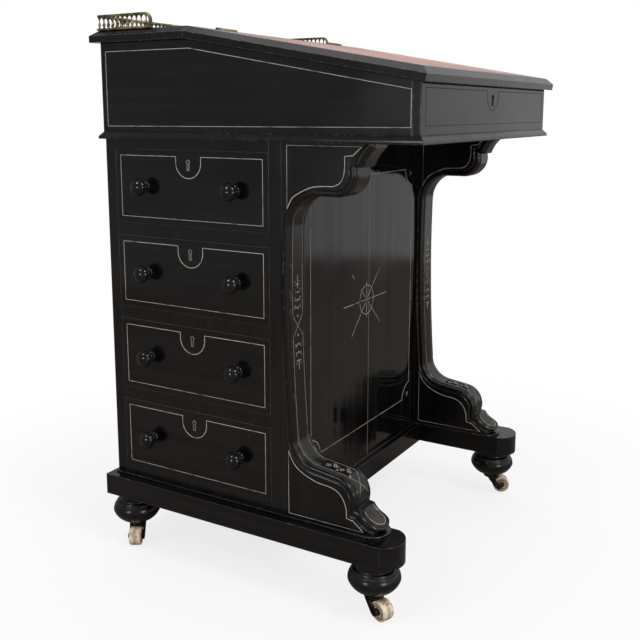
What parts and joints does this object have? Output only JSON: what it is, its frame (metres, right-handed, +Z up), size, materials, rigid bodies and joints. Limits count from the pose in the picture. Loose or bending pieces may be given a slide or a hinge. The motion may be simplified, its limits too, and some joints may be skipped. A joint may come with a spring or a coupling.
{
  "type": "davenport desk",
  "caption": "Small writing desk with a sloping leather-topped lid over a box, a side pedestal of drawers, scrolled bracket legs, a brass gallery and bun feet on castors.",
  "frame": {"origin": "on the floor, under the middle of the desk's overall box", "axes": "+Z up; the writer sits at -Y and faces +Y; the drawers open towards -X"},
  "size_m": [0.5642, 0.561, 0.8541],
  "materials": {
    "ebonised_wood": "polished black stain with worn edges",
    "bare_wood": "bare planed mahogany and pine",
    "leather": "faded red with tooled border",
    "brass": "aged and tarnished",
    "steel": "dull",
    "porcelain": "glazed, crazed and stained"
  },
  "bodies": {
    "carcase": {"back_panel": "ebonised_wood", "base_fillet": "ebonised_wood", "box_back": "ebonised_wood", "box_bottom": "ebonised_wood", "box_front": "ebonised_wood", "box_lock": "steel", "box_sides": "ebonised_wood", "bun_feet": "ebonised_wood", "castor_plates": "brass", "drawer_face_frame": "ebonised_wood", "drawer_runners": "bare_wood", "dummy_drawer_fronts": "ebonised_wood", "dummy_escutcheons": "brass", "dummy_knobs": "ebonised_wood", "dummy_side_panel": "ebonised_wood", "gallery_rails": "brass", "gallery_spindles": "brass", "hinge_leaves_fixed": "brass", "knee_panel": "ebonised_wood", "left_bracket_leg": "ebonised_wood", "pedestal_boards": "bare_wood", "plinth_arms": "ebonised_wood", "plinth_rails": "ebonised_wood", "ridge_rail": "bare_wood", "right_bracket_leg": "ebonised_wood", "top_board": "ebonised_wood"},
    "lid": {"lid_board": "ebonised_wood", "writing_leather": "leather", "hinge_leaves_lid": "brass", "lid_strike_plate": "brass"},
    "drawer_1": {"drawer_1_front": "ebonised_wood", "drawer_1_box": "bare_wood", "drawer_1_knobs": "ebonised_wood", "drawer_1_lock": "steel"},
    "drawer_1_bolt": {"drawer_1_bolt": "steel"},
    "drawer_2": {"drawer_2_front": "ebonised_wood", "drawer_2_box": "bare_wood", "drawer_2_knobs": "ebonised_wood", "drawer_2_lock": "steel"},
    "drawer_2_bolt": {"drawer_2_bolt": "steel"},
    "drawer_3": {"drawer_3_front": "ebonised_wood", "drawer_3_box": "bare_wood", "drawer_3_knobs": "ebonised_wood", "drawer_3_lock": "steel"},
    "drawer_3_bolt": {"drawer_3_bolt": "steel"},
    "drawer_4": {"drawer_4_front": "ebonised_wood", "drawer_4_box": "bare_wood", "drawer_4_knobs": "ebonised_wood", "drawer_4_lock": "steel"},
    "drawer_4_bolt": {"drawer_4_bolt": "steel"},
    "box_lock_bolt": {"box_lock_bolt": "steel"},
    "castor_horn_front_left": {"castor_horn_front_left": "brass"},
    "castor_wheel_front_left": {"castor_wheel_front_left": "porcelain"},
    "castor_horn_front_right": {"castor_horn_front_right": "brass"},
    "castor_wheel_front_right": {"castor_wheel_front_right": "porcelain"},
    "castor_horn_rear_left": {"castor_horn_rear_left": "brass"},
    "castor_wheel_rear_left": {"castor_wheel_rear_left": "porcelain"},
    "castor_horn_rear_right": {"castor_horn_rear_right": "brass"},
    "castor_wheel_rear_right": {"castor_wheel_rear_right": "porcelain"}
  },
  "joints": [
    {"name": "lid_hinge", "type": "hinge", "parent": "carcase", "child": "lid", "pos_m": [0, 0.0985, 0.831], "axis": [-1, 0, 0], "range_deg": [0, 100]},
    {"name": "drawer_1_slide", "type": "slide", "parent": "carcase", "child": "drawer_1", "axis": [-1, 0, 0], "range_m": [0, 0.38]},
    {"name": "drawer_1_bolt_slide", "type": "slide", "parent": "drawer_1", "child": "drawer_1_bolt", "axis": [0, 0, 1], "range_m": [0, 0.006]},
    {"name": "drawer_2_slide", "type": "slide", "parent": "carcase", "child": "drawer_2", "axis": [-1, 0, 0], "range_m": [0, 0.38]},
    {"name": "drawer_2_bolt_slide", "type": "slide", "parent": "drawer_2", "child": "drawer_2_bolt", "axis": [0, 0, 1], "range_m": [0, 0.006]},
    {"name": "drawer_3_slide", "type": "slide", "parent": "carcase", "child": "drawer_3", "axis": [-1, 0, 0], "range_m": [0, 0.38]},
    {"name": "drawer_3_bolt_slide", "type": "slide", "parent": "drawer_3", "child": "drawer_3_bolt", "axis": [0, 0, 1], "range_m": [0, 0.006]},
    {"name": "drawer_4_slide", "type": "slide", "parent": "carcase", "child": "drawer_4", "axis": [-1, 0, 0], "range_m": [0, 0.38]},
    {"name": "drawer_4_bolt_slide", "type": "slide", "parent": "drawer_4", "child": "drawer_4_bolt", "axis": [0, 0, 1], "range_m": [0, 0.006]},
    {"name": "box_lock_bolt_slide", "type": "slide", "parent": "carcase", "child": "box_lock_bolt", "axis": [0, 0, 1], "range_m": [0, 0.006]},
    {"name": "castor_swivel_front_left", "type": "hinge", "parent": "carcase", "child": "castor_horn_front_left", "pos_m": [-0.2436, -0.2024, 0.034], "axis": [0, 0, 1], "continuous": true},
    {"name": "wheel_spin_front_left", "type": "hinge", "parent": "castor_horn_front_left", "child": "castor_wheel_front_left", "pos_m": [-0.25034, -0.21909, 0.015], "axis": [0.9272, -0.3746, 0], "continuous": true},
    {"name": "castor_swivel_front_right", "type": "hinge", "parent": "carcase", "child": "castor_horn_front_right", "pos_m": [0.2436, -0.2024, 0.034], "axis": [0, 0, 1], "continuous": true},
    {"name": "wheel_spin_front_right", "type": "hinge", "parent": "castor_horn_front_right", "child": "castor_wheel_front_right", "pos_m": [0.25274, -0.21791, 0.015], "axis": [0.8616, 0.5075, 0], "continuous": true},
    {"name": "castor_swivel_rear_left", "type": "hinge", "parent": "carcase", "child": "castor_horn_rear_left", "pos_m": [-0.2436, 0.242, 0.034], "axis": [0, 0, 1], "continuous": true},
    {"name": "wheel_spin_rear_left", "type": "hinge", "parent": "castor_horn_rear_left", "child": "castor_wheel_rear_left", "pos_m": [-0.25911, 0.23286, 0.015], "axis": [0.5075, -0.8616, 0], "continuous": true},
    {"name": "castor_swivel_rear_right", "type": "hinge", "parent": "carcase", "child": "castor_horn_rear_right", "pos_m": [0.2436, 0.242, 0.034], "axis": [0, 0, 1], "continuous": true},
    {"name": "wheel_spin_rear_right", "type": "hinge", "parent": "castor_horn_rear_right", "child": "castor_wheel_rear_right", "pos_m": [0.24976, 0.25891, 0.015], "axis": [-0.9397, 0.342, 0], "continuous": true}
  ]
}
